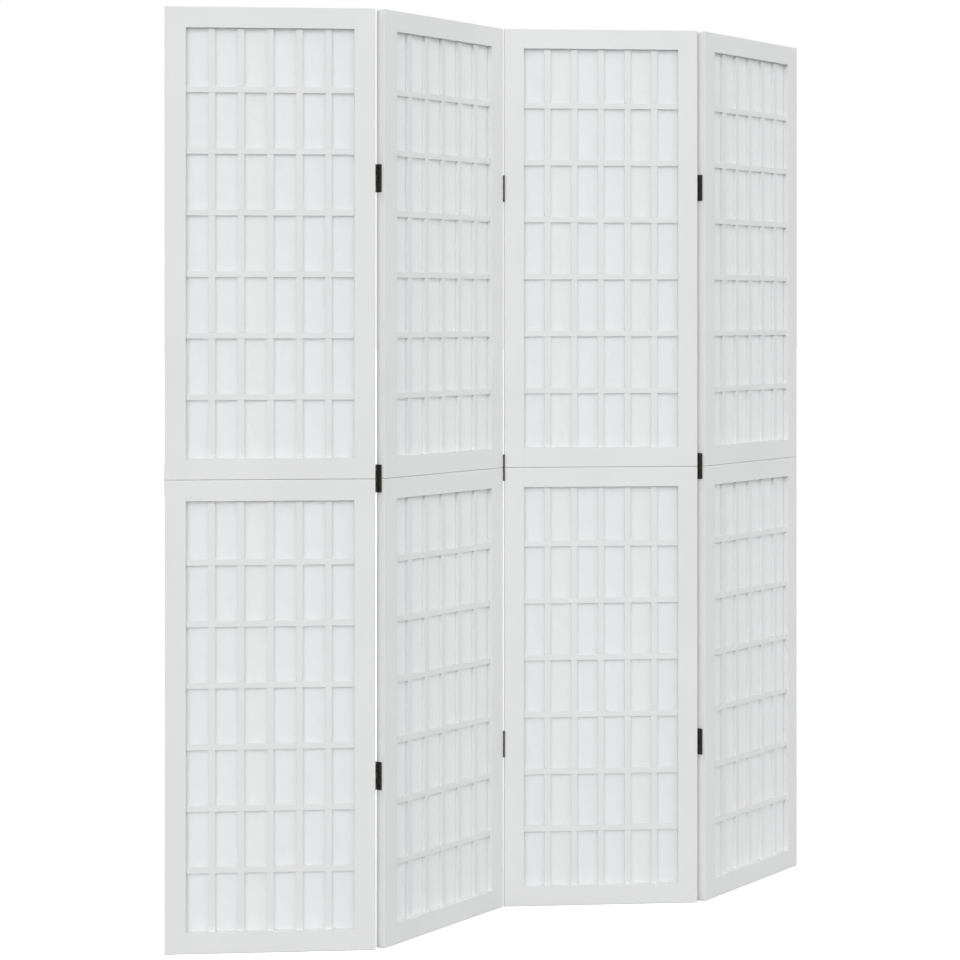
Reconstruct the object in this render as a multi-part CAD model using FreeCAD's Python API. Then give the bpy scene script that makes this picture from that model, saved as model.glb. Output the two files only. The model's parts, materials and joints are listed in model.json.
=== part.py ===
import FreeCAD, Part
import math
import os

# Folding partition screen: four papered lattice wings that stand in a zigzag on three folds.
# Each wing is two framed halves, one over the other, tied at the seam by middle hinges and plates.
# Millimetres, +Z up, +X along the row of wings, the front faces -Y.
# The origin is on the floor, under the middle of the screen's box.

# Whole screen
wing_count = 4
wing_width = 400.0
wing_height = 1800.0
wing_thickness = 19.0
halves = ("lower", "upper")
# How far each fold is bent from flat at rest, in degrees, and the face that carries its pins.
fold_angles = (49.7, 49.7, 49.4)
fold_faces = ("back", "front", "back")

# Frame of one half
stile_width = 40.0
rail_width = 40.0
edge_ease = 1.0
seam_gap = 0.5
lip_thickness = 5.0
rebate_width = 6.5
tenon_length = 22.0
tenon_height = 20.0
tenon_thickness = 7.0
tenon_shoulder = 8.0
glue_gap = 0.1
mortise_end_gap = 1.0

# Lattice with its border, the paper behind it and the beads that press both against the lip
upright_count = 5
upright_width = 12.5
upright_depth = 7.0
slat_count = 6
slat_width = 11.5
slat_depth = 4.0
notch_gap = 0.05
border_gap = 0.2
paper_thickness = 0.3
bead_setback = 0.5
bead_ease = 1.5

# Butt hinges: two leaves and a pin each; a top and a bottom height for each fold
hinge_from_top = (324.0, 328.0, 324.0)
hinge_from_floor = (329.5, 333.5, 329.5)
fold_gap = 2.0
leaf_height = 54.0
leaf_width = 13.0
leaf_thickness = 0.8
knuckle_count = 5
knuckle_radius = 1.7
knuckle_sides = 12
knuckle_end_gap = 0.25
knuckle_side_gap = 0.25
pin_radius = 0.9
pin_gap = 0.05
pin_offset = 1.7

# Joining plates on the two free edges
plate_height = 57.0
plate_width = 12.0
plate_thickness = 0.8

# How far a cut runs past the faces that it opens
overrun = 5.0

# Worked out from the sizes above
half_height = (wing_height - seam_gap) / len(halves)
half_gap = fold_gap / 2
lattice_back = lip_thickness + upright_depth
paper_back = lattice_back + paper_thickness
rebate_u = stile_width - rebate_width
rebate_z = rail_width - rebate_width
opening_width = wing_width - 2 * stile_width
opening_height = half_height - 2 * rail_width


def block(u_range, v_range, z_range):
    """A box between two values along each axis, given in any order."""
    low = [min(pair) for pair in (u_range, v_range, z_range)]
    high = [max(pair) for pair in (u_range, v_range, z_range)]
    sides = [top - bottom for bottom, top in zip(low, high)]
    return Part.makeBox(*sides, FreeCAD.Vector(*low))


def drawn(points, along):
    """A bar drawn as the closed outline of its profile, and stretched along a vector."""
    corners = [FreeCAD.Vector(*point) for point in points]
    outline = Part.Face(Part.makePolygon(corners + corners[:1]))
    return outline.extrude(FreeCAD.Vector(*along))


def sided_rod(corner_radius, u, v, z_range):
    """A many-sided rod that stands along Z, light enough for all the knuckles of the screen."""
    corners = []
    for number in range(knuckle_sides):
        angle = 2 * math.pi * number / knuckle_sides
        x, y = u + corner_radius * math.cos(angle), v + corner_radius * math.sin(angle)
        corners.append((x, y, min(z_range)))
    return drawn(corners, (0, 0, max(z_range) - min(z_range)))


def sided_hole(radius, u, v, z_range):
    """A many-sided hole that lets a round rod of this radius through."""
    return sided_rod(radius / math.cos(math.pi / knuckle_sides), u, v, z_range)


def mirrored_in_height(low, high):
    """The same stretch measured down from the top of a half."""
    return (half_height - low, half_height - high)


def eased_half():
    """The outer form of one half, with every outer edge eased."""
    form = block((0, wing_width), (0, wing_thickness), (0, half_height))
    return form.makeChamfer(edge_ease, form.Edges)


def rebate_pocket():
    """The space cut into the back of the frame for the lattice, the paper and the beads."""
    return block(
        (rebate_u, wing_width - rebate_u),
        (lip_thickness, wing_thickness + overrun),
        (rebate_z, half_height - rebate_z),
    )


def tenon(end, z_pair, gap=0.0, end_gap=0.0):
    """A rail's tenon at one end of a half, or with gaps the mortise that takes it."""
    shoulder = stile_width if end == "left" else wing_width - stile_width
    outwards = -1 if end == "left" else 1
    low, high = min(z_pair), max(z_pair)
    middle = wing_thickness / 2
    return block(
        (shoulder - outwards * end_gap, shoulder + outwards * (tenon_length + end_gap)),
        (middle - tenon_thickness / 2 - gap, middle + tenon_thickness / 2 + gap),
        (low - gap, high + gap),
    )


def tenon_levels():
    """Height range of the tenon of the bottom rail and of the top rail."""
    low = (tenon_shoulder, tenon_shoulder + tenon_height)
    return (low, mirrored_in_height(*low))


def stile(end, form, pocket):
    """One stile of a half: eased, rebated, with a mortise for each rail."""
    edges = (0, stile_width) if end == "left" else (wing_width - stile_width, wing_width)
    piece = form.common(block(edges, (0, wing_thickness), (0, half_height)))
    mortises = [tenon(end, level, glue_gap, mortise_end_gap) for level in tenon_levels()]
    return piece.cut([pocket] + mortises)


def rail(position, form, pocket):
    """One rail of a half: it stands between the stiles on two tenons."""
    span = (0, rail_width)
    level = tenon_levels()[0]
    if position == "top":
        span = mirrored_in_height(*span)
        level = tenon_levels()[1]
    body = form.common(block((stile_width, wing_width - stile_width), (0, wing_thickness), span))
    body = body.fuse([tenon("left", level), tenon("right", level)])
    return body.cut(pocket).removeSplitter()


def upright_centres():
    """Uprights leave equal cells between the stiles."""
    pitch = (opening_width + upright_width) / (upright_count + 1)
    return [stile_width + pitch * number - upright_width / 2 for number in range(1, upright_count + 1)]


def slat_centres():
    """Slats are centred on equal steps of the opening's height."""
    pitch = opening_height / (slat_count + 1)
    return [rail_width + pitch * number for number in range(1, slat_count + 1)]


def upright_outline():
    """Side outline of an upright, as pairs of depth and height, with a notch for each slat."""
    low, high = rail_width + glue_gap, half_height - rail_width - glue_gap
    notch_floor = lip_thickness + slat_depth
    reach = slat_width / 2 + notch_gap
    outline = [(lattice_back, high), (lattice_back, low), (lip_thickness, low)]
    for z in slat_centres():
        outline += [(lip_thickness, z - reach), (notch_floor, z - reach)]
        outline += [(notch_floor, z + reach), (lip_thickness, z + reach)]
    return outline + [(lip_thickness, high)]


def uprights():
    """Notched upright bars, and the border bars that stand in the rebate at both sides."""
    bars = []
    for u in upright_centres():
        corners = [(u - upright_width / 2, v, z) for v, z in upright_outline()]
        bars.append(drawn(corners, (upright_width, 0, 0)))
    depth = (lip_thickness, lattice_back)
    height = (rebate_z + border_gap, half_height - rebate_z - border_gap)
    bars.append(block((rebate_u + border_gap, stile_width), depth, height))
    bars.append(block((wing_width - stile_width, wing_width - rebate_u - border_gap), depth, height))
    return bars


def slats():
    """Level bars let into the notches, flush with them in front, and the border bars above and below."""
    depth = (lip_thickness, lip_thickness + slat_depth)
    span = (stile_width + glue_gap, wing_width - stile_width - glue_gap)
    bars = [block(span, depth, (z - slat_width / 2, z + slat_width / 2)) for z in slat_centres()]
    border = (rebate_z + border_gap, rail_width)
    for levels in (border, mirrored_in_height(*border)):
        bars.append(block(span, (lip_thickness, lattice_back), levels))
    return bars


def paper_sheet():
    """Paper on the back of the whole lattice, out to the edges of its border."""
    return block(
        (rebate_u + border_gap, wing_width - rebate_u - border_gap),
        (lattice_back, paper_back),
        (rebate_z + border_gap, half_height - rebate_z - border_gap),
    )


def beads():
    """Four beads with mitred ends and an eased inner edge, which press paper and lattice on the lip."""
    back = wing_thickness - bead_setback
    profile = [
        (0, paper_back), (rebate_width, paper_back), (rebate_width, back - bead_ease),
        (rebate_width - bead_ease, back), (0, back),
    ]
    outer_u, inner_u = (rebate_u, wing_width - rebate_u), (stile_width, wing_width - stile_width)
    outer_z, inner_z = (rebate_z, half_height - rebate_z), (rail_width, half_height - rail_width)
    pieces = []
    for end in (0, 1):
        inwards = 1 - 2 * end
        side = drawn([(outer_u[end] + inwards * a, v, rebate_z) for a, v in profile],
                     (0, 0, outer_z[1] - outer_z[0]))
        level = drawn([(rebate_u, v, outer_z[end] + inwards * a) for a, v in profile],
                      (outer_u[1] - outer_u[0], 0, 0))
        side_face = [
            (outer_u[end], outer_z[0]), (outer_u[end], outer_z[1]),
            (inner_u[end], inner_z[1]), (inner_u[end], inner_z[0]),
        ]
        level_face = [
            (outer_u[0], outer_z[end]), (outer_u[1], outer_z[end]),
            (inner_u[1], inner_z[end]), (inner_u[0], inner_z[end]),
        ]
        for bar, face in ((side, side_face), (level, level_face)):
            mitred = drawn([(u, 0, z) for u, z in face], (0, wing_thickness, 0))
            pieces.append(bar.common(mitred))
    return pieces


def leaf_centres(fold):
    """Heights of a fold's three hinges; the middle one straddles the seam."""
    return (hinge_from_floor[fold], wing_height / 2, wing_height - hinge_from_top[fold])


def fold_side(end, face):
    """Where a fold lies on a wing: its end and face, and the ways out of them."""
    end_u = 0.0 if end == "left" else wing_width
    face_v = 0.0 if face == "front" else wing_thickness
    return end_u, (-1 if end == "left" else 1), face_v, (-1 if face == "front" else 1)


def pin_place(end, face):
    """Centre of a fold's pins in the wing's own coordinates."""
    end_u, out_u, face_v, out_v = fold_side(end, face)
    return end_u + out_u * half_gap, face_v + out_v * pin_offset


def knuckle_spans(centre, end):
    """Height ranges of the knuckles of one leaf: the outer ones are on the wing to the left."""
    height = leaf_height / knuckle_count
    bottom = centre - leaf_height / 2
    first = 0 if end == "right" else 1
    spans = []
    for number in range(first, knuckle_count, 2):
        low = bottom + number * height
        high = low + height
        if number > 0:
            low += knuckle_end_gap / 2
        if number < knuckle_count - 1:
            high -= knuckle_end_gap / 2
        spans.append((low, high))
    return spans


def leaf(end, face, centre):
    """One hinge leaf: a flat plate on the wing's edge, rolled into knuckles round the pin."""
    end_u, out_u, face_v, out_v = fold_side(end, face)
    pin_u, pin_v = pin_place(end, face)
    low, high = centre - leaf_height / 2, centre + leaf_height / 2
    plate = block(
        (end_u, end_u + out_u * leaf_thickness),
        (face_v - out_v * leaf_width, pin_v),
        (low, high),
    )
    other_end = "left" if end == "right" else "right"
    clear_radius = knuckle_radius + knuckle_side_gap
    room = []
    for bottom, top in knuckle_spans(centre, other_end):
        bottom -= overrun if bottom <= low else knuckle_end_gap
        top += overrun if top >= high else knuckle_end_gap
        room.append(sided_hole(clear_radius, pin_u, pin_v, (bottom, top)))
    knuckles = [sided_rod(knuckle_radius, pin_u, pin_v, span) for span in knuckle_spans(centre, end)]
    bore = sided_hole(pin_radius + pin_gap, pin_u, pin_v, (low - overrun, high + overrun))
    return plate.cut(room).fuse(knuckles).cut(bore).removeSplitter()


def pin(end, face, centre):
    """A round hinge pin, as long as the leaves are high."""
    place = FreeCAD.Vector(*pin_place(end, face), centre - leaf_height / 2)
    return Part.makeCylinder(pin_radius, leaf_height, place)


def joining_plate(end):
    """A flat plate across the seam on a free edge of the screen."""
    end_u, out_u = fold_side(end, "front")[:2]
    middle_v, middle_z = wing_thickness / 2, wing_height / 2
    return block(
        (end_u, end_u + out_u * plate_thickness),
        (middle_v - plate_width / 2, middle_v + plate_width / 2),
        (middle_z - plate_height / 2, middle_z + plate_height / 2),
    )


def half_pieces():
    """The pieces of one half that stands on height zero; both halves are alike."""
    form = eased_half()
    pocket = rebate_pocket()
    return {
        "stiles": [stile(end, form, pocket) for end in ("left", "right")],
        "rails": [rail(position, form, pocket) for position in ("bottom", "top")],
        "uprights": uprights(),
        "slats": slats(),
        "paper": [paper_sheet()],
        "beads": beads(),
    }


def lifted(shape, height):
    """A copy of a shape, moved up."""
    copy = shape.copy()
    copy.translate(FreeCAD.Vector(0, 0, height))
    return copy


def wing_pieces(number, pieces):
    """Every named group of solids of one wing, in the wing's own coordinates."""
    name = f"wing_{number + 1}"
    groups = {}
    for level, half in enumerate(halves):
        height = level * (half_height + seam_gap)
        for kind, solids in pieces.items():
            groups[f"{name}_{half}_{kind}"] = [lifted(solid, height) for solid in solids]
    if number > 0:
        face, levels = fold_faces[number - 1], leaf_centres(number - 1)
        groups[f"fold_{number}_right_leaves"] = [leaf("left", face, z) for z in levels]
    else:
        groups["left_joining_plate"] = [joining_plate("left")]
    if number < wing_count - 1:
        face, levels = fold_faces[number], leaf_centres(number)
        groups[f"fold_{number + 1}_left_leaves"] = [leaf("right", face, z) for z in levels]
        groups[f"fold_{number + 1}_pins"] = [pin("right", face, z) for z in levels]
    else:
        groups["right_joining_plate"] = [joining_plate("right")]
    return groups


def turned(u, v, heading):
    """A vector of a wing's own plan, in the plan of the screen."""
    angle = math.radians(heading)
    return (
        u * math.cos(angle) - v * math.sin(angle),
        u * math.sin(angle) + v * math.cos(angle),
    )


def wing_places():
    """Heading and left front corner of each wing, with the row's mean direction along X."""
    headings = [0.0]
    for angle, face in zip(fold_angles, fold_faces):
        headings.append(headings[-1] + (angle if face == "back" else -angle))
    mean = sum(headings) / len(headings)
    headings = [heading - mean for heading in headings]
    corners, pins = [(0.0, 0.0)], []
    for number, face in enumerate(fold_faces):
        before = turned(*pin_place("right", face), headings[number])
        after = turned(*pin_place("left", face), headings[number + 1])
        pin_x = corners[number][0] + before[0]
        pin_y = corners[number][1] + before[1]
        pins.append((pin_x, pin_y))
        corners.append((pin_x - after[0], pin_y - after[1]))
    return headings, corners, pins


def build_screen():
    """Every node of the screen in its rest pose, with its middle over the origin."""
    pieces = half_pieces()
    headings, corners, pins = wing_places()
    nodes = {}
    for number in range(wing_count):
        spin = FreeCAD.Rotation(FreeCAD.Vector(0, 0, 1), headings[number])
        place = FreeCAD.Placement(FreeCAD.Vector(*corners[number], 0), spin)
        for name, solids in wing_pieces(number, pieces).items():
            group = Part.makeCompound(solids)
            group.Placement = place.multiply(group.Placement)
            nodes[name] = group
    box = Part.makeCompound(list(nodes.values())).BoundBox
    shift = FreeCAD.Vector(-box.Center.x, -box.Center.y, 0)
    for group in nodes.values():
        group.translate(shift)
    pins = [(x + shift.x, y + shift.y) for x, y in pins]
    return nodes, headings, pins, box


def main():
    nodes, headings, pins, box = build_screen()
    os.makedirs("parts", exist_ok=True)
    for name, group in nodes.items():
        group.exportStep(f"parts/{name}.step")
    print(len(nodes), "nodes,", sum(len(group.Solids) for group in nodes.values()), "solids")
    print(f"box {box.XLength:.1f} x {box.YLength:.1f} x {box.ZLength:.1f}")
    for number, (x, y) in enumerate(pins, 1):
        print(f"fold {number} pins stand at x {x:.4f}, y {y:.4f}")
    for number, heading in enumerate(headings, 1):
        print(f"wing {number} heads {heading:.3f} degrees from X")


main()
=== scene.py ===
"""Folding partition screen: white lattice wings with paper behind, on black butt hinges.

Metres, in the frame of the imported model: +Z up, +X along the row of wings, the front faces -Y.
A wing's own axes are u along its width, v from its front face to its back, and z up.
A hinge's own axes are x from the gap into its wing, y from the pin along the wing's end, and z up.
"""
import json
import math

import bmesh
import bpy
from mathutils import Euler, Matrix, Vector, noise


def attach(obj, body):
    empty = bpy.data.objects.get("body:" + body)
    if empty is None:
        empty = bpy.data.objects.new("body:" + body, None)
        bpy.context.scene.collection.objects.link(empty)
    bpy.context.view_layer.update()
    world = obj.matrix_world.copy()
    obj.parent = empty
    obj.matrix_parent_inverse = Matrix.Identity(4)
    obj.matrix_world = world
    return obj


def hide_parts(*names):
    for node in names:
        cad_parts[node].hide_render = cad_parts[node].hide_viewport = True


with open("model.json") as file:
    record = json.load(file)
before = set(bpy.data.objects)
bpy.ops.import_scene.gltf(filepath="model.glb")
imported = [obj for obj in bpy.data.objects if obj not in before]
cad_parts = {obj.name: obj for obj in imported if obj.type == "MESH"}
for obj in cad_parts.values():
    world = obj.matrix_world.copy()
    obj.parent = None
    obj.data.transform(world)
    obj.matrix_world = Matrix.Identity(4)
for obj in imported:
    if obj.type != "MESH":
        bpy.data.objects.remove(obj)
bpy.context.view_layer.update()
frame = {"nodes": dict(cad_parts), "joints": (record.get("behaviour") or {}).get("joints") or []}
MM = 0.001

# Wings, as the model has them
wing_numbers = (1, 2, 3, 4)
halves = ("lower", "upper")
wing_width = 400 * MM
wing_height = 1800 * MM
wing_thickness = 19 * MM
seam_gap = 0.5 * MM
seam_level = wing_height / 2
half_height = (wing_height - seam_gap) / 2
half_step = half_height + seam_gap
frame_width = 40 * MM
rebate_width = 6.5 * MM
lip_thickness = 5 * MM

# Lattice
upright_count = 5
upright_width = 12.5 * MM
upright_depth = 7 * MM
slat_count = 6
slat_width = 11.5 * MM
slat_depth = 4 * MM
notch_gap = 0.05 * MM
border_gap = 0.2 * MM
glue_gap = 0.1 * MM
bar_arris = 0.3 * MM

# Paper: its mesh has columns at these shares of a cell's width, and rows
paper_thickness = 0.3 * MM
paper_shares = (0.12, 0.3, 0.5, 0.7, 0.88, 1.0)
paper_rows = 56

# Paper: how far it stands off between the uprights, and how that changes from place to place
billow_depth = 0.5 * MM
billow_mean = 0.55
billow_swing = 0.45
cell_change = 3.7
height_change = 9.0
wing_change = 11.0
half_change = 5.0

# Hinge leaves and pins
fold_gap = 2 * MM
fold_faces = {1: "back", 2: "front", 3: "back"}
leaf_levels = {
    1: (329.5 * MM, seam_level, wing_height - 324 * MM),
    2: (333.5 * MM, seam_level, wing_height - 328 * MM),
    3: (329.5 * MM, seam_level, wing_height - 324 * MM),
}
leaf_height = 54 * MM
leaf_width = 13 * MM
leaf_thickness = 0.8 * MM
leaf_corner = 1.5 * MM
leaf_corner_steps = 5
metal_arris = 0.12 * MM
metal_arris_angle = 50
knuckle_count = 5
knuckle_radius = 1.7 * MM
knuckle_arris = 0.25 * MM
knuckle_end_gap = 0.25 * MM
knuckle_side_gap = 0.25 * MM
knuckle_sides = 32
pin_radius = 0.9 * MM
pin_rise = pin_radius / 4
pin_gap = 0.05 * MM
pin_offset = 1.7 * MM
pin_sides = 28

# Screws and the joining plates; a dome's shoulder is given in shares of its radius and its rise
screw_radius = 2.4 * MM
screw_edge = 0.1 * MM
screw_sides = 28
screw_step = 21 * MM
shank_radius = 1.2 * MM
shank_length = 2.2 * MM
shank_gap = 0.05 * MM
recess_reach = 1.4 * MM
recess_width = 0.6 * MM
recess_depth = 0.9 * MM
head_rise = 0.12 * MM
screw_shoulder = (0.55, 0.72)
pin_shoulder = (0.7, 0.3)
cut_overrun = 1 * MM
hole_depth = 3 * MM
plate_height = 57 * MM
plate_width = 12 * MM
plate_thickness = 0.8 * MM
plate_corner = 3 * MM
plate_corner_steps = 6
plate_screw_levels = (-22 * MM, -9 * MM, 9 * MM, 22 * MM)

# Camera, fitted to the outlines of the wings in the photograph
camera_place = (-2.5243, -4.2276, 1.2232)
camera_turn = -29.829
camera_lens = 91.27
camera_shift = -0.17709
camera_reach = 200
sensor_width = 36.0

# Soft suns: azimuth towards the right of the screen's front, height above level, spread, strength.
# The key shares the camera's azimuth, so its shadows fall straight down in the picture.
suns = {
    "key": (-30, 32, 20, 0.24),
    "side key": (-50, 15, 25, 0.74),
    "middle": (0, 40, 25, 0.12),
    "right": (60, 20, 30, 0.27),
    "left": (-75, 12, 60, 0.45),
    "fill": (25, 5, 80, 1.10),
    "back": (180, 20, 80, 0.24),
}
sun_distance = 6
world_light = 0.59
world_colour = (0.97, 0.985, 1.0)

# Floor: half its width, its shade to the camera, its shade to light that bounces, and its glow
floor_reach = 60.0
floor_shade = 0.86
floor_bounce = 0.15
floor_glow = 0.45

# Colours, linear
white = (1.0, 1.0, 1.0)
paint_colours = ((0.828, 0.831, 0.823), (0.855, 0.858, 0.851))
paper_colours = ((0.882, 0.890, 0.894), (0.904, 0.911, 0.915))
hinge_colours = ((0.086, 0.084, 0.070), (0.125, 0.122, 0.103))
screw_colours = ((0.004, 0.004, 0.004), (0.009, 0.009, 0.008))
plate_colours = ((0.66, 0.66, 0.64), (0.74, 0.74, 0.72))

# Surface detail: the scales are in waves for each metre
grain_along = 2.5
grain_across = 190.0
peel_scale = 620.0
paint_cloud_scale = 5.0
paper_cloud_scale = 38.0
metal_cloud_scale = 180.0
rub_scale = 240.0
grit_scale = 2400.0

# Fibres in the paper: each layer is (degrees, cells for each metre across its threads). Along the
# threads the cells are fewer, by this share. A thread's half width is a share of a cell, and drift
# bends the threads.
fibre_layers = ((12, 95.0), (101, 80.0), (57, 110.0))
fibre_along = 0.06
fibre_width = 0.07
fibre_drift = 0.055
fibre_drift_scale = 26.0
light_through_paper = 0.48


# Where the wings stand

def flat_turn(fold):
    """The joint value at which the two wings of a fold lie flat: the limit nearer to rest."""
    return min(fold["range_deg"], key=abs)


def pin_place(end, face):
    """Where a fold's pins stand in a wing's own axes."""
    u = -fold_gap / 2 if end == "left" else wing_width + fold_gap / 2
    v = -pin_offset if face == "front" else wing_thickness + pin_offset
    return Vector((u, v, 0))


def wing_frames():
    """Headings of the wings, and the matrix from each wing's own axes to the row's."""
    folds = {joint["name"]: joint for joint in frame["joints"]}
    folds = {number: folds[f"fold_{number}"] for number in fold_faces}
    pins = {number: Vector(fold["pos_m"]) for number, fold in folds.items()}
    own_span = pin_place("right", fold_faces[2]) - pin_place("left", fold_faces[1])
    span = pins[2] - pins[1]
    second = math.degrees(math.atan2(span.y, span.x) - math.atan2(own_span.y, own_span.x))
    first = second + flat_turn(folds[1])
    third = second - flat_turn(folds[2])
    headings = {1: first, 2: second, 3: third, 4: third - flat_turn(folds[3])}
    own_pins = {number: pin_place("left", fold_faces[number - 1]) for number in (2, 3, 4)}
    own_pins[1] = pin_place("right", fold_faces[1])
    frames = {}
    for number, heading in headings.items():
        turn = Matrix.Rotation(math.radians(heading), 4, "Z")
        corner = pins[max(number - 1, 1)] - turn @ own_pins[number]
        frames[number] = Matrix.Translation((corner.x, corner.y, 0)) @ turn
    return headings, frames


headings, wings = wing_frames()


# Mesh tools

def bm_mesh(name, bm):
    """A finished mesh from bmesh, with its faces turned outwards."""
    bmesh.ops.remove_doubles(bm, verts=bm.verts, dist=MM / 1000)
    bmesh.ops.recalc_face_normals(bm, faces=bm.faces)
    mesh = bpy.data.meshes.new(name)
    bm.to_mesh(mesh)
    bm.free()
    return mesh


def prism(name, outline, depth, axis):
    """A closed prism along X or Z: an outline of pairs on the other two axes, stretched to the depth."""
    bm = bmesh.new()

    def place(first, second, along):
        return (along, first, second) if axis == "x" else (first, second, along)

    low, high = depth
    base = bm.faces.new([bm.verts.new(place(first, second, low)) for first, second in outline])
    stretched = bmesh.ops.extrude_face_region(bm, geom=[base])
    top = [item for item in stretched["geom"] if isinstance(item, bmesh.types.BMVert)]
    bmesh.ops.translate(bm, verts=top, vec=place(0, 0, high - low))
    return bm_mesh(name, bm)


def lathe(name, profile, sides):
    """A closed solid turned about Z from (radius, height) pairs; a closed loop makes a ring."""
    bm = bmesh.new()
    angles = [2 * math.pi * side / sides for side in range(sides)]
    circle = [(math.cos(angle), math.sin(angle)) for angle in angles]
    rows = []
    for radius, height in profile:
        if radius == 0:
            rows.append([bm.verts.new((0, 0, height))] * sides)
        else:
            rows.append([bm.verts.new((radius * x, radius * y, height)) for x, y in circle])
    pairs = list(zip(rows, rows[1:]))
    ring = profile[0][0] > 0 and profile[-1][0] > 0
    if ring:
        pairs.append((rows[-1], rows[0]))
    for below, above in pairs:
        for side in range(sides):
            after = (side + 1) % sides
            corners = [below[side], below[after], above[after], above[side]]
            bm.faces.new(list(dict.fromkeys(corners)))
    return bm_mesh(name, bm)


def joined(name, meshes):
    """One mesh from several."""
    bm = bmesh.new()
    for mesh in meshes:
        bm.from_mesh(mesh)
    result = bpy.data.meshes.new(name)
    bm.to_mesh(result)
    bm.free()
    return result


def moved(mesh, matrix):
    """The same mesh in another place, with its faces still outwards."""
    mesh.transform(matrix)
    if matrix.determinant() < 0:
        mesh.flip_normals()
    return mesh


def helper(mesh):
    """A short-lived object that carries a mesh for modifiers and node trees."""
    thing = bpy.data.objects.new(mesh.name, mesh)
    bpy.context.scene.collection.objects.link(thing)
    return thing


def finished(thing):
    """The mesh that a helper's modifiers make; the helper goes."""
    graph = bpy.context.evaluated_depsgraph_get()
    mesh = bpy.data.meshes.new_from_object(thing.evaluated_get(graph), depsgraph=graph)
    mesh.name = thing.name
    bpy.data.objects.remove(thing)
    return mesh


def bevelled(mesh, width, segments=2, angle=30):
    """A copy of a mesh with its sharp edges rounded."""
    thing = helper(mesh)
    edge = thing.modifiers.new("arris", "BEVEL")
    edge.width = width
    edge.segments = segments
    edge.limit_method = "ANGLE"
    edge.angle_limit = math.radians(angle)
    return finished(thing)


def carved(mesh, cutters):
    """A mesh with the forms of the cutters taken out."""
    thing = helper(mesh)
    tools = [helper(cutter) for cutter in cutters]
    for tool in tools:
        cut = thing.modifiers.new("cut", "BOOLEAN")
        cut.operation = "DIFFERENCE"
        cut.solver = "EXACT"
        cut.object = tool
    result = finished(thing)
    for tool in tools:
        bpy.data.objects.remove(tool)
    return result


def with_material(mesh, material):
    """The same mesh with this material and no other."""
    mesh.materials.clear()
    mesh.materials.append(material)
    return mesh


def piece(name, mesh, body, material, replaces=()):
    """A finished piece of the screen, which rides on its wing."""
    mesh.name = name
    thing = bpy.data.objects.new(name, with_material(mesh, material))
    bpy.context.scene.collection.objects.link(thing)
    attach(thing, body)
    if replaces:
        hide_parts(*replaces)
    return thing


# Materials

class Nodes:
    """Short words for building a node tree."""

    def __init__(self, tree):
        self.tree = tree

    def add(self, kind, inputs=None, **settings):
        """A new node; an input is either another node's output, which is linked, or a value."""
        node = self.tree.nodes.new(kind)
        for name, value in settings.items():
            setattr(node, name, value)
        for name, value in (inputs or {}).items():
            if isinstance(value, bpy.types.NodeSocket):
                self.tree.links.new(value, node.inputs[name])
            else:
                node.inputs[name].default_value = value
        return node


def material_nodes(name):
    """A new material with an empty tree, and its node words."""
    material = bpy.data.materials.new(name)
    material.use_nodes = True
    material.node_tree.nodes.clear()
    return material, Nodes(material.node_tree)


def wing_coordinates(nodes, heading, scale=(1, 1, 1)):
    """Object coordinates turned to a wing's own axes and stretched."""
    source = nodes.add("ShaderNodeTexCoord")
    turned = nodes.add(
        "ShaderNodeMapping",
        {"Vector": source.outputs["Object"], "Rotation": (0, 0, -math.radians(heading))},
    )
    stretched = nodes.add(
        "ShaderNodeMapping",
        {"Vector": turned.outputs["Vector"], "Scale": scale},
    )
    return stretched.outputs["Vector"]


def rgba(colour):
    """A colour with full cover, as a colour input takes it."""
    return (*colour, 1.0)


def mottled(nodes, vector, colours, scale, detail=3.0):
    """A colour that wanders between two near ones."""
    cloud = nodes.add(
        "ShaderNodeTexNoise",
        {"Vector": vector, "Scale": scale, "Detail": detail, "Roughness": 0.55},
    )
    ramp = nodes.add("ShaderNodeValToRGB", {"Fac": cloud.outputs["Fac"]})
    for stop, position, colour in zip(ramp.color_ramp.elements, (0.3, 0.7), colours):
        stop.position = position
        stop.color = rgba(colour)
    return ramp.outputs["Color"]


def painted_wood(name, heading, run):
    """Satin white paint over fine grain that runs up the piece or along it."""
    material, nodes = material_nodes(name)
    upright_scale = (grain_across, grain_across, grain_along)
    level_scale = (grain_along, grain_across, grain_across)
    grain_vector = wing_coordinates(nodes, heading, upright_scale if run == "upright" else level_scale)
    plain_vector = wing_coordinates(nodes, heading)
    grain = nodes.add(
        "ShaderNodeTexNoise",
        {"Vector": grain_vector, "Scale": 1.0, "Detail": 4.0, "Roughness": 0.6, "Distortion": 0.3},
    )
    peel = nodes.add(
        "ShaderNodeTexNoise",
        {"Vector": plain_vector, "Scale": peel_scale, "Detail": 2.0},
    )
    soft_edge = nodes.add("ShaderNodeBevel", {"Radius": 0.6 * MM}, samples=6)
    grain_bump = nodes.add(
        "ShaderNodeBump",
        {"Strength": 0.16, "Distance": 0.35 * MM, "Height": grain.outputs["Fac"],
         "Normal": soft_edge.outputs["Normal"]},
    )
    peel_bump = nodes.add(
        "ShaderNodeBump",
        {"Strength": 0.10, "Distance": 0.12 * MM, "Height": peel.outputs["Fac"],
         "Normal": grain_bump.outputs["Normal"]},
    )
    sheen_change = nodes.add(
        "ShaderNodeMapRange",
        {"Value": grain.outputs["Fac"], "To Min": 0.38, "To Max": 0.52},
    )
    shader = nodes.add(
        "ShaderNodeBsdfPrincipled",
        {"Base Color": mottled(nodes, plain_vector, paint_colours, paint_cloud_scale),
         "Roughness": sheen_change.outputs["Result"], "Normal": peel_bump.outputs["Normal"],
         "Specular IOR Level": 0.4},
    )
    nodes.add("ShaderNodeOutputMaterial", {"Surface": shader.outputs["BSDF"]})
    return material


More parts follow.
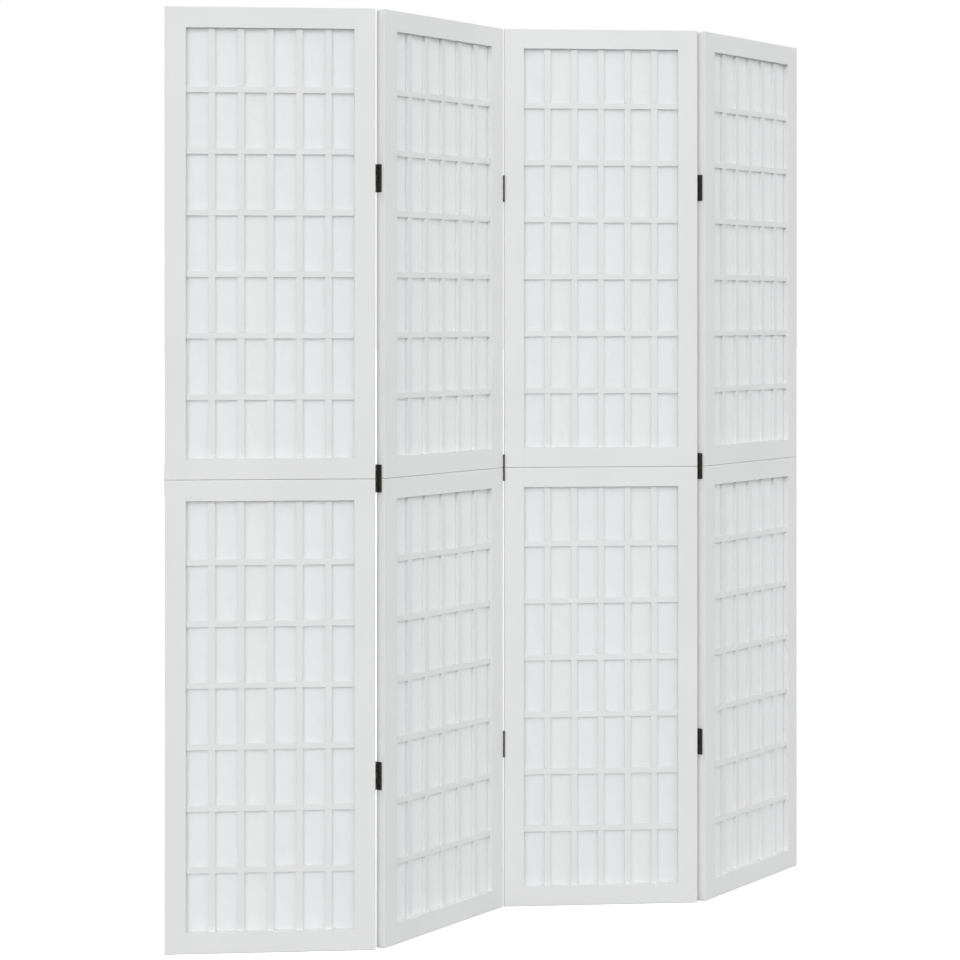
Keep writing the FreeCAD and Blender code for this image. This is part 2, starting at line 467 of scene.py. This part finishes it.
def fibres(nodes, vector):
    """One on the threads that lie in the paper, and nothing between them."""
    drift = nodes.add(
        "ShaderNodeTexNoise",
        {"Vector": vector, "Scale": fibre_drift_scale, "Detail": 3.0},
    )
    bent = nodes.add(
        "ShaderNodeVectorMath",
        {0: drift.outputs["Color"], "Scale": fibre_drift},
        operation="SCALE",
    )
    wandering = nodes.add(
        "ShaderNodeVectorMath",
        {0: vector, 1: bent.outputs["Vector"]},
        operation="ADD",
    )
    threads = []
    for angle, pitch in fibre_layers:
        laid = nodes.add(
            "ShaderNodeMapping",
            {"Vector": wandering.outputs["Vector"], "Rotation": (0, math.radians(angle), 0),
             "Scale": (pitch, 1.0, pitch * fibre_along)},
        )
        cells = nodes.add(
            "ShaderNodeTexVoronoi",
            {"Vector": laid.outputs["Vector"], "Scale": 1.0},
            feature="DISTANCE_TO_EDGE",
        )
        thread = nodes.add(
            "ShaderNodeMapRange",
            {"Value": cells.outputs["Distance"], "From Min": 0.0, "From Max": fibre_width,
             "To Min": 1.0, "To Max": 0.0},
        )
        threads.append(thread.outputs["Result"])
    most = threads[0]
    for thread in threads[1:]:
        most = nodes.add("ShaderNodeMath", {0: most, 1: thread}, operation="MAXIMUM").outputs[0]
    return most


def fibre_paper(name, heading):
    """White paper with long fibres, which lets some light through from behind."""
    material, nodes = material_nodes(name)
    vector = wing_coordinates(nodes, heading)
    thread = fibres(nodes, vector)
    cloud = mottled(nodes, vector, paper_colours, paper_cloud_scale, detail=5.0)
    tint = nodes.add(
        "ShaderNodeMix",
        {"Factor": thread, "A": cloud, "B": rgba(paper_colours[1])},
        data_type="RGBA",
    )
    colour = tint.outputs["Result"]
    relief = nodes.add(
        "ShaderNodeBump",
        {"Strength": 0.12, "Distance": 0.10 * MM, "Height": thread},
    )
    front = nodes.add(
        "ShaderNodeBsdfPrincipled",
        {"Base Color": colour, "Roughness": 0.85, "Normal": relief.outputs["Normal"],
         "Specular IOR Level": 0.2},
    )
    through = nodes.add(
        "ShaderNodeBsdfTranslucent",
        {"Color": colour, "Normal": relief.outputs["Normal"]},
    )
    both = nodes.add(
        "ShaderNodeMixShader",
        {"Fac": light_through_paper, 1: front.outputs["BSDF"], 2: through.outputs["BSDF"]},
    )
    nodes.add("ShaderNodeOutputMaterial", {"Surface": both.outputs["Shader"]})
    return material


def coated_metal(name, colours, roughness, metallic):
    """Plated or painted steel with fine grit and rubbed patches."""
    material, nodes = material_nodes(name)
    vector = wing_coordinates(nodes, 0)
    rubbed = nodes.add("ShaderNodeTexNoise", {"Vector": vector, "Scale": rub_scale, "Detail": 4.0})
    grit = nodes.add("ShaderNodeTexNoise", {"Vector": vector, "Scale": grit_scale, "Detail": 2.0})
    gloss = nodes.add(
        "ShaderNodeMapRange",
        {"Value": rubbed.outputs["Fac"], "To Min": roughness - 0.08, "To Max": roughness + 0.10},
    )
    soft_edge = nodes.add("ShaderNodeBevel", {"Radius": 0.15 * MM}, samples=4)
    bump = nodes.add(
        "ShaderNodeBump",
        {"Strength": 0.15, "Distance": 0.03 * MM, "Height": grit.outputs["Fac"],
         "Normal": soft_edge.outputs["Normal"]},
    )
    shader = nodes.add(
        "ShaderNodeBsdfPrincipled",
        {"Base Color": mottled(nodes, vector, colours, metal_cloud_scale),
         "Roughness": gloss.outputs["Result"], "Normal": bump.outputs["Normal"],
         "Metallic": metallic},
    )
    nodes.add("ShaderNodeOutputMaterial", {"Surface": shader.outputs["BSDF"]})
    return material


upright_paint = {}
level_paint = {}
papers = {}
for number, heading in headings.items():
    upright_paint[number] = painted_wood(f"paint_up_wing_{number}", heading, "upright")
    level_paint[number] = painted_wood(f"paint_along_wing_{number}", heading, "level")
    papers[number] = fibre_paper(f"paper_wing_{number}", heading)
hinge_black = coated_metal("hinge_black", hinge_colours, roughness=0.38, metallic=0.75)
screw_black = coated_metal("screw_black", screw_colours, roughness=0.45, metallic=0.30)
plate_paint = coated_metal("plate_paint", plate_colours, roughness=0.45, metallic=0.0)


# Node trees for what repeats

def tree_with(name, sockets):
    """A geometry tree with named inputs; gives the tree, its node words, input node and ids."""
    tree = bpy.data.node_groups.new(name, "GeometryNodeTree")
    tree.is_modifier = True
    tree.interface.new_socket("Geometry", in_out="INPUT", socket_type="NodeSocketGeometry")
    tree.interface.new_socket("Geometry", in_out="OUTPUT", socket_type="NodeSocketGeometry")
    ids = {}
    for socket, kind in sockets.items():
        item = tree.interface.new_socket(socket, in_out="INPUT", socket_type=kind)
        ids[socket] = item.identifier
    nodes = Nodes(tree)
    return tree, nodes, nodes.add("NodeGroupInput"), ids


def close_tree(nodes, geometry, given):
    """Every tree ends in real faces with their material."""
    real = nodes.add("GeometryNodeRealizeInstances", {"Geometry": geometry})
    coated = nodes.add(
        "GeometryNodeSetMaterial",
        {"Geometry": real.outputs["Geometry"], "Material": given.outputs["Material"]},
    )
    nodes.add("NodeGroupOutput", {"Geometry": coated.outputs["Geometry"]})


def rows_tree():
    """Copies of one bar in a row, and that row again in each half of a wing."""
    tree, nodes, given, ids = tree_with("bars_in_rows", {
        "Bar": "NodeSocketObject", "Count": "NodeSocketInt", "First": "NodeSocketVector",
        "Step": "NodeSocketVector", "Halves": "NodeSocketInt", "Half Step": "NodeSocketVector",
        "Material": "NodeSocketMaterial",
    })
    bar = nodes.add("GeometryNodeObjectInfo", {"Object": given.outputs["Bar"]})
    row = nodes.add(
        "GeometryNodeMeshLine",
        {"Count": given.outputs["Count"], "Start Location": given.outputs["First"],
         "Offset": given.outputs["Step"]},
    )
    bars = nodes.add(
        "GeometryNodeInstanceOnPoints",
        {"Points": row.outputs["Mesh"], "Instance": bar.outputs["Geometry"]},
    )
    levels = nodes.add(
        "GeometryNodeMeshLine",
        {"Count": given.outputs["Halves"], "Offset": given.outputs["Half Step"]},
    )
    both_halves = nodes.add(
        "GeometryNodeInstanceOnPoints",
        {"Points": levels.outputs["Mesh"], "Instance": bars.outputs["Instances"]},
    )
    close_tree(nodes, both_halves.outputs["Instances"], given)
    return tree, ids


def places_tree():
    """Copies of one small part at the points of a mesh, each turned about X by chance."""
    tree, nodes, given, ids = tree_with("parts_at_places", {
        "Part": "NodeSocketObject", "Most Turn": "NodeSocketFloat", "Seed": "NodeSocketInt",
        "Material": "NodeSocketMaterial",
    })
    part = nodes.add("GeometryNodeObjectInfo", {"Object": given.outputs["Part"]})
    chance = nodes.add(
        "FunctionNodeRandomValue",
        {"Min": 0.0, "Max": given.outputs["Most Turn"], "Seed": given.outputs["Seed"]},
        data_type="FLOAT",
    )
    turn = nodes.add(
        "FunctionNodeAxisAngleToRotation",
        {"Axis": (1, 0, 0), "Angle": chance.outputs["Value"]},
    )
    copies = nodes.add(
        "GeometryNodeInstanceOnPoints",
        {"Points": given.outputs["Geometry"], "Instance": part.outputs["Geometry"],
         "Rotation": turn.outputs["Rotation"]},
    )
    close_tree(nodes, copies.outputs["Instances"], given)
    return tree, ids


def grown(base, tree_and_ids, values):
    """The plain mesh that a tree makes on a base mesh with the values given by name."""
    tree, ids = tree_and_ids
    thing = helper(base)
    modifier = thing.modifiers.new("tree", "NODES")
    modifier.node_group = tree
    for socket, value in values.items():
        modifier[ids[socket]] = value
    return finished(thing)


bars_in_rows = rows_tree()
parts_at_places = places_tree()


# Lattice

opening_width = wing_width - 2 * frame_width
opening_height = half_height - 2 * frame_width
rebate_start = frame_width - rebate_width
lattice_back = lip_thickness + upright_depth
upright_step = (opening_width + upright_width) / (upright_count + 1)
slat_step = opening_height / (slat_count + 1)


def upright_bar():
    """One upright of a half, about its own middle line, with a notch in front for each slat."""
    low = frame_width + glue_gap
    reach = slat_width / 2 + notch_gap
    front, notch, back = lip_thickness, lip_thickness + slat_depth, lattice_back
    outline = [(back, low), (front, low)]
    for number in range(1, slat_count + 1):
        level = frame_width + slat_step * number
        outline += [(front, level - reach), (notch, level - reach)]
        outline += [(notch, level + reach), (front, level + reach)]
    outline += [(front, half_height - low), (back, half_height - low)]
    width = (-upright_width / 2, upright_width / 2)
    return bevelled(prism("upright_bar", outline, width, "x"), bar_arris)


def slat_bar():
    """One slat of a half, about its own middle level, from border to border."""
    low = frame_width + glue_gap
    front, back = lip_thickness, lip_thickness + slat_depth
    outline = [(low, front), (wing_width - low, front), (wing_width - low, back), (low, back)]
    height = (-slat_width / 2, slat_width / 2)
    return bevelled(prism("slat_bar", outline, height, "z"), bar_arris)


def border_bar(kind):
    """One bar of the lattice's border in the rebate: the left upright one, or the lowest level one."""
    low, edge = rebate_start + border_gap, frame_width
    if kind == "uprights":
        (left, right), height = (low, edge), (low, half_height - low)
    else:
        (left, right), height = (edge + glue_gap, wing_width - edge - glue_gap), (low, edge)
    front, back = lip_thickness, lattice_back
    outline = [(left, front), (right, front), (right, back), (left, back)]
    return bevelled(prism("border_bar", outline, height, "z"), bar_arris / 2)


def repeated(name, bar, count, first, step, paint):
    """Copies of a bar in a row, and the same again in the upper half."""
    return grown(bpy.data.meshes.new(name), bars_in_rows, {
        "Bar": bar, "Count": count, "First": first, "Step": step, "Halves": len(halves),
        "Half Step": (0, 0, half_step), "Material": paint,
    })


def lattice(number, bars, borders):
    """The uprights and the slats of both halves of a wing, with the border bars that go with them."""
    far = frame_width + rebate_start + border_gap
    first_upright = (frame_width + upright_step - upright_width / 2, 0, 0)
    first_slat = (0, 0, frame_width + slat_step)
    rows = {
        "uprights": (upright_count, first_upright, (upright_step, 0, 0),
                     (wing_width - far, 0, 0), upright_paint[number]),
        "slats": (slat_count, first_slat, (0, 0, slat_step),
                  (0, 0, half_height - far), level_paint[number]),
    }
    for kind, (count, first, step, across, paint) in rows.items():
        name = f"wing_{number}_lattice_{kind}"
        inner = repeated(name, bars[kind], count, first, step, paint)
        outer = repeated(f"{name}_border", borders[kind], 2, (0, 0, 0), across, paint)
        mesh = moved(joined(name, [inner, outer]), wings[number])
        piece(
            name, mesh, f"wing_{number}", paint,
            replaces=[f"wing_{number}_{half}_{kind}" for half in halves],
        )


bars = {"uprights": helper(upright_bar()), "slats": helper(slat_bar())}
borders = {kind: helper(border_bar(kind)) for kind in bars}
for number in wing_numbers:
    lattice(number, bars, borders)
for part in (*bars.values(), *borders.values()):
    bpy.data.objects.remove(part)


# Paper

def billow(u, z, number, level):
    """How far the paper stands off behind the lattice: nothing at the uprights, a little between."""
    across = (u - frame_width) / upright_step
    inside = 0 < across < upright_count + 1 and frame_width < z < half_height - frame_width
    if not inside:
        return 0.0
    reach = (across % 1) * upright_step / (upright_step - upright_width)
    if reach >= 1:
        return 0.0
    ends = min(1.0, (z - frame_width) / slat_step, (half_height - frame_width - z) / slat_step)
    seed = Vector((
        math.floor(across) * cell_change,
        z * height_change,
        number * wing_change + level * half_change,
    ))
    swell = billow_mean + billow_swing * noise.noise(seed)
    return billow_depth * math.sin(math.pi * reach) * ends * swell


def paper_columns(edge):
    """Where the columns of a sheet's vertices stand: close together in the cells."""
    columns = [edge, frame_width]
    for cell in range(upright_count + 1):
        start = frame_width + cell * upright_step
        columns += [start + share * (upright_step - upright_width) for share in paper_shares]
        if cell < upright_count:
            columns.append(start + upright_step)
    return [*columns, wing_width - edge]


def rim(grid):
    """The outer vertices of a grid, in order round it."""
    right = [row[-1] for row in grid[1:]]
    left = [row[0] for row in grid[-2:0:-1]]
    return grid[0] + right + grid[-1][-2::-1] + left


def paper_sheet(number, level, half):
    """The paper of one half: a closed thin sheet that billows a little between the uprights."""
    edge = rebate_start + border_gap
    columns = paper_columns(edge)
    inner_rows = [frame_width + opening_height * step / paper_rows for step in range(paper_rows + 1)]
    bm = bmesh.new()
    grids = []
    for side in (0, paper_thickness):
        grid = []
        for z in (edge, *inner_rows, half_height - edge):
            row = []
            for u in columns:
                v = lattice_back + side + billow(u, z, number, level)
                row.append(bm.verts.new((u, v, z + level * half_step)))
            grid.append(row)
        grids.append(grid)
    for grid in grids:
        for below, above in zip(grid, grid[1:]):
            for left in range(len(columns) - 1):
                right = left + 1
                bm.faces.new((below[left], below[right], above[right], above[left]))
    front, back = (rim(grid) for grid in grids)
    for here in range(len(front)):
        after = (here + 1) % len(front)
        bm.faces.new((front[here], front[after], back[after], back[here]))
    name = f"wing_{number}_{half}_paper_sheet"
    mesh = moved(bm_mesh(name, bm), wings[number])
    for face in mesh.polygons:
        face.use_smooth = True
    sheet = piece(
        name, mesh, f"wing_{number}", papers[number],
        replaces=[f"wing_{number}_{half}_paper"],
    )


for number in wing_numbers:
    for level, half in enumerate(halves):
        paper_sheet(number, level, half)


# Frames and beads keep the model's own shape

frame_paints = {"stiles": upright_paint, "rails": level_paint, "beads": upright_paint}
for number in wing_numbers:
    for half in halves:
        for kind, paint in frame_paints.items():
            with_material(frame["nodes"][f"wing_{number}_{half}_{kind}"].data, paint[number])


# Hinges

leaf_face = fold_gap / 2 - leaf_thickness
leaf_middle = pin_offset + leaf_width / 2


def corner(centre, radius, start, steps):
    """Points on a quarter circle, from the angle where it starts."""
    angles = [start + step * math.pi / (2 * steps) for step in range(steps + 1)]
    return [(centre[0] + radius * math.cos(a), centre[1] + radius * math.sin(a)) for a in angles]


def knuckle_spans(side):
    """Height ranges of a leaf's knuckles, about its middle: the left leaf has the outer ones."""
    height = leaf_height / knuckle_count
    spans = []
    for number in range(0 if side == "left" else 1, knuckle_count, 2):
        low = -leaf_height / 2 + number * height
        high = low + height
        if number > 0:
            low += knuckle_end_gap / 2
        if number < knuckle_count - 1:
            high -= knuckle_end_gap / 2
        spans.append((low, high))
    return spans


def leaf_outline(side):
    """Outline of a leaf's plate as (y, z): rounded free corners and a tooth for each knuckle."""
    near = knuckle_radius + knuckle_side_gap
    rooted = (pin_radius + pin_gap + knuckle_radius) / 2
    end = rooted if side == "left" else near
    top = leaf_height / 2
    y, z = pin_offset + leaf_width - leaf_corner, top - leaf_corner
    outline = [(end, -top)]
    outline += corner((y, -z), leaf_corner, -math.pi / 2, leaf_corner_steps)
    outline += corner((y, z), leaf_corner, 0, leaf_corner_steps)
    outline.append((end, top))
    for low, high in reversed(knuckle_spans(side)):
        if high < top:
            outline += [(near, high), (rooted, high)]
        if low > -top:
            outline += [(rooted, low), (near, low)]
    return outline


def countersink(place):
    """A tool for a screw hole at a place on a plate's face: a cone and a through hole along X."""
    profile = [
        (0, -cut_overrun), (screw_radius + cut_overrun, -cut_overrun),
        (shank_radius, screw_radius - shank_radius), (shank_radius, hole_depth), (0, hole_depth),
    ]
    tool = lathe("countersink", profile, screw_sides)
    return moved(tool, Matrix.Translation(place) @ Matrix.Rotation(math.pi / 2, 4, "Y"))


def leaf_mesh(side, steps):
    """One leaf: a comb-edged plate, countersunk at the steps, and rolled knuckles round the pin."""
    plate = prism("leaf_plate", leaf_outline(side), (leaf_face, fold_gap / 2), "x")
    plate = carved(plate, [countersink((leaf_face, leaf_middle, z)) for z in steps])
    plate = bevelled(plate, metal_arris, segments=1, angle=metal_arris_angle)
    bore, full, end = pin_radius + pin_gap, knuckle_radius, knuckle_radius - knuckle_arris
    knuckles = []
    for low, high in knuckle_spans(side):
        profile = [
            (bore, low), (end, low), (full, low + knuckle_arris),
            (full, high - knuckle_arris), (end, high), (bore, high),
        ]
        knuckles.append(lathe("knuckle", profile, knuckle_sides))
    return joined(f"{side}_leaf", [plate] + knuckles)


def pin_mesh():
    """A hinge pin with slightly domed ends."""
    half, across, up = leaf_height / 2, pin_radius * pin_shoulder[0], pin_rise * pin_shoulder[1]
    profile = [(0, -half), (across, -half + up), (pin_radius, -half + pin_rise)]
    profile += [(pin_radius, half - pin_rise), (across, half - up), (0, half)]
    return lathe("hinge_pin", profile, pin_sides)


def screw_mesh():
    """A countersunk screw head, nearly flush, with a cross recess; its axis is X."""
    head, shank = screw_radius - screw_edge, shank_radius - shank_gap
    profile = [
        (0, -head_rise), (screw_radius * screw_shoulder[0], -head_rise * screw_shoulder[1]),
        (head, 0), (head, screw_edge), (shank, screw_radius - shank), (shank, shank_length),
        (0, shank_length),
    ]
    screw = lathe("screw", profile, screw_sides)
    reach, half = recess_reach, recess_width / 2
    outline = [(-reach, -half), (reach, -half), (reach, half), (-reach, half)]
    arms = []
    for turn in (0, math.pi / 2):
        arm = prism("recess", outline, (-cut_overrun, recess_depth), "z")
        arms.append(moved(arm, Matrix.Rotation(turn, 4, "Z")))
    return moved(carved(screw, arms), Matrix.Rotation(math.pi / 2, 4, "Y"))


def copies(name, places, part, material, seed=0, most_turn=0.0):
    """Copies of a part at places, each turned about X by chance, at most by the most turn."""
    base = bpy.data.meshes.new(name)
    base.from_pydata(places, [], [])
    values = {"Part": part, "Most Turn": most_turn, "Seed": seed, "Material": material}
    return grown(base, parts_at_places, values)


def screws(name, places, material, seed):
    """Screws at places, each turned to a recess angle of its own."""
    return copies(name, places, screw_helper, material, seed=seed, most_turn=math.pi / 2)


def hinge_matrix(number, side, face):
    """From a hinge's own axes, at height zero, to the row's, for the leaf on wing `number`."""
    end = "right" if side == "left" else "left"
    into_wing = -1 if side == "left" else 1
    inwards = 1 if face == "front" else -1
    axes = Matrix.Diagonal((into_wing, inwards, 1, 1))
    return wings[number] @ Matrix.Translation(pin_place(end, face)) @ axes


def screw_steps(level):
    """Where a leaf's screws are, about its middle; at the seam there is no wood for the middle one."""
    return (-screw_step, screw_step) if level == seam_level else (-screw_step, 0, screw_step)


def leaves(name, side, levels):
    """The leaves of a fold that sit on one wing."""
    meshes = []
    for level in levels:
        part = leaf_helpers[side, level == seam_level]
        meshes.append(copies(name, [(0, 0, level)], part, hinge_black))
    return joined(name, meshes)


def fold_pieces(fold, face):
    """The leaves, the screws and the pins of one fold."""
    levels = leaf_levels[fold]
    places = [(leaf_face, leaf_middle, level + step) for level in levels for step in screw_steps(level)]
    for side, number in (("left", fold), ("right", fold + 1)):
        matrix = hinge_matrix(number, side, face)
        name = f"fold_{fold}_{side}_hinge_leaves"
        mesh = moved(leaves(name, side, levels), matrix)
        piece(
            name, mesh, f"wing_{number}", hinge_black,
            replaces=[f"fold_{fold}_{side}_leaves"],
        )
        name = f"fold_{fold}_{side}_screws"
        mesh = screws(name, places, screw_black, seed=fold * 7 + number)
        piece(name, moved(mesh, matrix), f"wing_{number}", screw_black)
    name = f"fold_{fold}_hinge_pins"
    mesh = copies(name, [(0, 0, level) for level in levels], pin_helper, hinge_black)
    mesh = moved(mesh, hinge_matrix(fold, "left", face))
    piece(
        name, mesh, f"wing_{fold}", hinge_black,
        replaces=[f"fold_{fold}_pins"],
    )


leaf_helpers = {}
for side in ("left", "right"):
    for on_seam, level in ((True, seam_level), (False, 0)):
        leaf_helpers[side, on_seam] = helper(leaf_mesh(side, screw_steps(level)))
pin_helper = helper(pin_mesh())
screw_helper = helper(screw_mesh())
for fold, face in fold_faces.items():
    fold_pieces(fold, face)


# Joining plates on the free edges

def joining_plate():
    """A flat plate with rounded corners and four countersunk holes; X points into the wing."""
    y, z = plate_width / 2 - plate_corner, plate_height / 2 - plate_corner
    outline = []
    for quarter, centre in enumerate(((y, z), (-y, z), (-y, -z), (y, -z))):
        outline += corner(centre, plate_corner, quarter * math.pi / 2, plate_corner_steps)
    plate = prism("joining_plate", outline, (-plate_thickness, 0), "x")
    tools = [countersink((-plate_thickness, 0, level)) for level in plate_screw_levels]
    return bevelled(carved(plate, tools), metal_arris * 2, angle=metal_arris_angle)


def plate_pieces(number, side):
    """A joining plate and its screws, across the seam on the free edge of a wing."""
    out_u = 0 if side == "left" else wing_width
    flip = Matrix.Rotation(0 if side == "left" else math.pi, 4, "Z")
    place = wings[number] @ Matrix.Translation((out_u, wing_thickness / 2, seam_level)) @ flip
    mesh = moved(joining_plate(), place)
    piece(
        f"{side}_edge_plate", mesh, f"wing_{number}", plate_paint,
        replaces=[f"{side}_joining_plate"],
    )
    name = f"{side}_edge_plate_screws"
    places = [(-plate_thickness, 0, level) for level in plate_screw_levels]
    mesh = screws(name, places, plate_paint, seed=40 + number)
    piece(name, moved(mesh, place), f"wing_{number}", plate_paint)


plate_pieces(wing_numbers[0], "left")
plate_pieces(wing_numbers[-1], "right")
for part in (*leaf_helpers.values(), pin_helper, screw_helper):
    bpy.data.objects.remove(part)


# Floor, light and camera

def camera_ray(nodes):
    """One for what the camera sees itself, in a mirror or through glass."""
    path = nodes.add("ShaderNodeLightPath")
    glossy = nodes.add(
        "ShaderNodeMath",
        {0: path.outputs["Is Camera Ray"], 1: path.outputs["Is Glossy Ray"]},
        operation="MAXIMUM",
    )
    both = nodes.add(
        "ShaderNodeMath",
        {0: glossy.outputs[0], 1: path.outputs["Is Transmission Ray"]},
        operation="MAXIMUM",
    )
    return both.outputs[0]


def floor():
    """A pale floor that fades into the background, keeps a faint shadow and throws little light up."""
    reach = floor_reach
    mesh = bpy.data.meshes.new("floor")
    corners = [(-reach, -reach, 0), (reach, -reach, 0), (reach, reach, 0), (-reach, reach, 0)]
    mesh.from_pydata(corners, [], [(0, 1, 2, 3)])
    thing = bpy.data.objects.new("floor", mesh)
    bpy.context.scene.collection.objects.link(thing)
    material, nodes = material_nodes("floor")
    seen = camera_ray(nodes)
    shade = nodes.add(
        "ShaderNodeMapRange",
        {"Value": seen, "To Min": floor_bounce, "To Max": floor_shade},
    )
    matt = nodes.add("ShaderNodeBsdfDiffuse", {"Color": shade.outputs["Result"]})
    lift = nodes.add("ShaderNodeMath", {0: seen, 1: floor_glow}, operation="MULTIPLY")
    glow = nodes.add("ShaderNodeEmission", {"Color": rgba(white), "Strength": lift.outputs[0]})
    both = nodes.add("ShaderNodeAddShader", {0: matt.outputs["BSDF"], 1: glow.outputs["Emission"]})
    nodes.add("ShaderNodeOutputMaterial", {"Surface": both.outputs["Shader"]})
    with_material(mesh, material)


def surroundings():
    """White behind the screen, and even soft light from all round."""
    world = bpy.data.worlds.new("studio")
    bpy.context.scene.world = world
    world.use_nodes = True
    world.node_tree.nodes.clear()
    nodes = Nodes(world.node_tree)
    light = nodes.add(
        "ShaderNodeBackground",
        {"Color": rgba(world_colour), "Strength": world_light},
    )
    backdrop = nodes.add("ShaderNodeBackground", {"Color": rgba(white), "Strength": 1.0})
    chosen = nodes.add(
        "ShaderNodeMixShader",
        {"Fac": camera_ray(nodes), 1: light.outputs["Background"], 2: backdrop.outputs["Background"]},
    )
    nodes.add("ShaderNodeOutputWorld", {"Surface": chosen.outputs["Shader"]})


def soft_sun(name, azimuth, height, spread, strength):
    """A wide far light; azimuth turns it from the front towards the right, height is above level."""
    lamp = bpy.data.lights.new(name, "SUN")
    lamp.angle = math.radians(spread)
    lamp.energy = strength
    thing = bpy.data.objects.new(name, lamp)
    turn, tip = math.radians(azimuth), math.radians(height)
    level = math.cos(tip)
    source = Vector((level * math.sin(turn), -level * math.cos(turn), math.sin(tip)))
    thing.location = source * sun_distance
    thing.rotation_euler = source.to_track_quat("Z", "Y").to_euler()
    bpy.context.scene.collection.objects.link(thing)


def camera():
    """The view of the photograph, level and shifted instead of tipped."""
    data = bpy.data.cameras.new("camera")
    data.sensor_width = sensor_width
    data.lens = camera_lens
    data.shift_y = camera_shift
    data.clip_end = camera_reach
    thing = bpy.data.objects.new("camera", data)
    thing.location = camera_place
    thing.rotation_euler = Euler((math.radians(90), 0, math.radians(camera_turn)))
    bpy.context.scene.collection.objects.link(thing)
    bpy.context.scene.camera = thing


floor()
surroundings()
for name, (azimuth, height, spread, strength) in suns.items():
    soft_sun(name, azimuth, height, spread, strength)
camera()
bpy.context.scene.view_settings.view_transform = "Standard"
